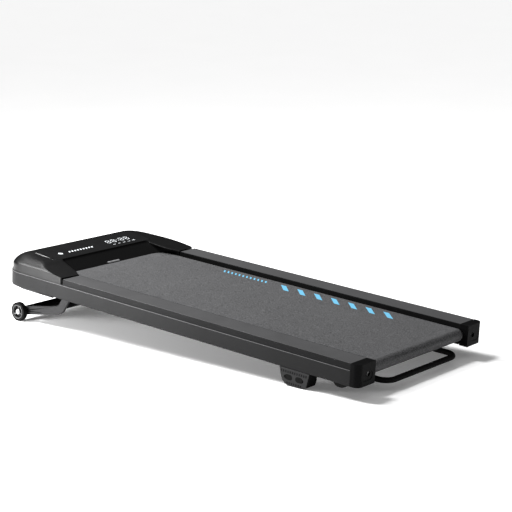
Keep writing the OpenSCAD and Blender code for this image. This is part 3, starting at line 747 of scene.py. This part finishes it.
def add_belt():
    """The belt as one closed loop with fine steps round both rollers."""
    outer = ROLLER_R + BELT_THICK
    path = arc((ROLLER_FRONT, ROLLER_Z), 1, 90, -90, 40) + arc((ROLLER_REAR, ROLLER_Z), 1, 270, 90, 40)
    centres = [ROLLER_FRONT] * 41 + [ROLLER_REAR] * 41
    loop = [(y - c, z - ROLLER_Z, c) for (y, z), c in zip(path, centres)]
    half, soft = BELT_HALF, 0.5
    edge = [(-half, ROLLER_R), (-half, outer - soft), (-half + soft, outer)]
    profile = edge + mirrored(edge)
    rings = [[(x, c + dy * r, ROLLER_Z + dz * r) for x, r in profile] for dy, dz, c in loop]
    rings.append(rings[0])
    belt = Shape().loft(rings, ends=False)
    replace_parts(make("belt_loop", belt, FINISH["belt"], crease=30), "running_belt")


def add_rail_pads():
    """The grey top face of each foot rail, and black strips along its inner side and under the gap: painted
    shade.
    """
    left, right, front = RAIL_IN + 2.6, 270.2, -GAP / 2 - 0.8
    outline = [(left, RAIL_REAR), (right, RAIL_REAR), (right, front), (left, front)]
    for side, name in SIDES:
        pad = Shape().plate([(side * x, y) for x, y in outline], -0.3, 0.25, 0.25)
        make("rail_pad_" + name, pad, RAIL_TOP, crease=20)
        inner = sorted((side * (RAIL_IN - 0.3), side * (RAIL_IN + 0.2)))
        # A thin black strip down the rail's inner side: painted shade in the dark gap beside the belt.
        inner_shade = Shape().block(inner, (RAIL_REAR, front), (BELT_TOP - 6, -0.9))
        make("rail_inner_shade_" + name, inner_shade, FINISH["rubber"], crease=20)
        across = sorted((side * (RAIL_IN + 1.5), side * (HOOD_HALF - 1.0)))
        # A black strip under the gap between rail and hood: painted shade in the gap.
        shade_strip = Shape().block(across, (-GAP / 2 + 0.1, HOOD_REAR_OUT + 2), (-16.5, -14.5))
        make("gap_shade_strip_" + name, shade_strip, FINISH["rubber"], crease=20)


def add_foot_slot_shades():
    """Black fills in the slots and small windows of the side feet's face plates: painted shade in the
    openings.
    """
    outlines = [arc((y + 4, -79.8), 7.2, -90, 90, 10) + arc((y - 4, -79.8), 7.2, 90, 270, 10)
                for y in (-806.5, -838.5)]
    windows = [(-860 + 7 * i, -69, -63.4) for i in range(12)]
    windows += [(-844.5 + 7 * i, -97.2, -92.2) for i in range(7)]
    for y, low, high in windows:
        outlines.append([(y - 1.8, low), (y + 1.8, low), (y + 1.8, high), (y - 1.8, high)])
    # Each fill stands in for the shade inside an opening: painted shade.
    for side, name in SIDES:
        slot_shade = Shape()
        for outline in outlines:
            slot_shade.loft([[(side * x, y, z) for y, z in outline] for x in (SKIRT_OUT - 1.5, SKIRT_OUT + 0.1)])
        make("foot_slot_shade_" + name, slot_shade, FINISH["rubber"], crease=30)


def add_seam_highlight():
    """The light edge where the rails and the hood meet the skirts below them, a grey strip: painted
    highlight.
    """
    rear, past = -988.0, SKIRT_OUT - HOOD_HALF
    corner = (HOOD_HALF - HOOD_CORNER, HOOD_FRONT - HOOD_CORNER)
    plan = [(SKIRT_OUT, rear + 120 * i) for i in range(10)]
    plan += arc(corner, HOOD_CORNER + past, 0, 90, 24) + [(0, HOOD_FRONT + past)]
    plan += mirrored(plan[:-1])
    low, high = -BAND_H - 0.9, -BAND_H - 0.1
    rings = []
    for i, point in enumerate(plan):
        ahead = Vector(plan[min(i + 1, len(plan) - 1)]) - Vector(plan[max(i - 1, 0)])
        inward = Vector((-ahead.y, ahead.x)).normalized()
        x0, y0 = Vector(point) + inward * 0.02
        x1, y1 = Vector(point) + inward * 1.6
        rings.append([(x0, y0, low), (x0, y0, high), (x1, y1, -BAND_H + 0.15), (x1, y1, low)])
    make("skirt_seam_highlight", Shape().loft(rings), SEAM_PAINTED_HIGHLIGHT, crease=20)


def add_stripes():
    """Seven slanted blue stripes and a row of small generic bars, printed on the belt; their glow is painted
    light.
    """
    low, high = BELT_TOP - 0.02, BELT_TOP + 0.12
    stripes = Shape()
    for i in range(7):
        y = -408 - 58.8 * i
        stripes.plate([(181, y - 2), (181, y - 21), (144, y - 60), (144, y - 41)], low, high)
    make("belt_stripes", stripes, STRIPE_BLUE_PAINTED_GLOW)
    bars = Shape()
    for i in range(12):
        y = -200 - 14.0 * i
        bars.plate([(180, y), (180, y - 5.5), (164, y - 16.5), (164, y - 11)], low, high)
    make("belt_bars", bars, STRIPE_BLUE_PAINTED_GLOW)


# ------------------------------------------------------------------ wheels

def add_wheel(side, name):
    """A tyre, a hub with three spokes and a bolt; profiles are (radius, distance from the inner face)."""
    body = "wheel_" + name
    centre = (0, AXLE_Y, AXLE_Z)

    def x(along):
        return side * (WHEEL_IN + along)

    def placed(profile):
        return [(radius, x(along)) for radius, along in profile]

    tread = [(20.0, 0.4), (22, 0), (24.8, 0), (26.2, 0.8), (27, 2.6), (27, 6.6), (26.4, 7.2), (26.4, 8.8),
             (27, 9.4), (27, 13.4), (26.2, 15.2), (24.8, 16), (23.2, 16), (22.8, 15.6), (21.8, 15.6),
             (21.4, 16), (20.0, 15.6)]
    tyre = Shape().turned(placed(tread), centre, "x", 96)
    tyre = make("tyre_" + name + "_tread", tyre, FINISH["tyre_rubber"], body, FLOOR, 30)
    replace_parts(tyre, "tyre_" + name)

    rim = [(17.4, 8), (20, 8), (20, 15.8), (19.6, 16), (18.4, 16), (17.8, 15.4)]
    dish = [(5.1, 1), (19.9, 1), (19.9, 8), (17.4, 8), (17.0, 6), (8, 4.5), (5.1, 4.5)]
    boss = [(5.1, 4), (8.4, 4), (8.0, 12.2), (7.4, 12.8), (5.1, 12.8)]
    back = Shape().turned(placed(dish), centre, "x", 96)
    make("hub_" + name + "_dish", back, HUB_DARK, body, FLOOR, 30)
    hub = Shape().turned(placed(rim), centre, "x", 96)
    hub.turned(placed(boss), centre, "x", 48)
    for k in range(3):
        turn = math.radians(90 + 120 * k)
        along = Vector((0, math.cos(turn), math.sin(turn)))
        across = Vector((0, -math.sin(turn), math.cos(turn)))
        rings = []
        for reach, half, height in ((7.2, 2.4, 11.8), (12, 1.7, 10.8), (17.6, 2.4, 13.4)):
            middle = Vector(centre) + along * reach
            edge = [(-half, 4), (-half, height - 1), (-half + 0.8, height)]
            rings.append([middle + across * w + Vector((x(h), 0, 0)) for w, h in edge + mirrored(edge)])
        hub.loft(rings)
    hub = make("hub_" + name + "_spokes", hub, FINISH["hub_grey"], body, FLOOR, 30)
    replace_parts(hub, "hub_" + name)

    head = arc((AXLE_Y, AXLE_Z), 5.6, 0, 300, 5)
    rings = [[(x(a), y + (AXLE_Y - y) * shrink, z + (AXLE_Z - z) * shrink) for y, z in head]
             for a, shrink in ((14.4, 0), (15.5, 0), (16.0, 0.12))]
    bolt = Shape().loft(rings)
    make("axle_bolt_" + name, bolt, BOLT_STEEL, "lift_frame", FLOOR, 30)


# ------------------------------------------------------------------ handle, screws and small fittings

def add_handle():
    """Two legs of steel tube in the clamps, and a rubber sleeve over the rest of the U."""
    leg, bend, rear, z = 155.0, 32.0, -1018.5, -66.0
    tube_r, sleeve_r = 6.0, 7.5
    legs = Shape()
    for x in (-leg, leg):
        legs.tube([(x, y, z) for y in (-900, -930, -960)], tube_r, 32)
    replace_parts(make("handle_tube", legs, FINISH["handle_black"], crease=50), "rear_handle")
    right = [(leg, y) for y in (-946, -965, rear + bend)]
    right += arc((leg - bend, rear + bend), bend, 0, -90, 14)[1:]
    sleeve = Shape().tube([(x, y, z) for x, y in right + mirrored(right)], sleeve_r, 32)
    make("handle_sleeve", sleeve, FINISH["rubber"], crease=50)


def add_screw(shape, centre, axis, radius, height):
    """A low domed screw head with a dimple, standing out along an axis; a negative height points down."""
    pole, root = 0.001, -0.6
    dome = [(pole, height * 0.55), (radius * 0.3, height), (radius * 0.7, height * 0.82),
            (radius, height * 0.2), (radius, root), (pole, root)]
    shape.turned(dome, centre, axis, 20)


def add_screws():
    below = Shape()
    for side in (-1, 1):
        for y in (-155, -340, -520, -700, -900):
            add_screw(below, (side * 268.6, y, -58.0), "z", 2.6, -1.3)
        for y in (80, 160):
            add_screw(below, (side * 246, y, -65.2), "z", 3.4, -1.5)
        for x in (60, 170):
            add_screw(below, (side * x, 222, -65.6), "z", 3.4, -1.5)
        for y in (-935, -915):
            add_screw(below, (side * 168, y, -74), "z", 2.8, -1.5)
            add_screw(below, (side * 142, y, -74), "z", 2.8, -1.5)
    make("underside_screws", below, FINISH["zinc_steel"], crease=30)
    panel = Shape()
    for x in (84, 186):
        for z in (-29.5, -48.5):
            add_screw(panel, (x, 252, z), "y", 1.7, 1.0)
    make("power_panel_screws", panel, FINISH["zinc_steel"], crease=30)


add_camera()
add_studio()
add_floor(studio_white())
finish_cad_nodes()
add_hood()
add_console()
add_belt()
add_rail_pads()
add_foot_slot_shades()
add_seam_highlight()
add_stripes()
for side, name in SIDES:
    add_wheel(side, name)
add_handle()
add_screws()
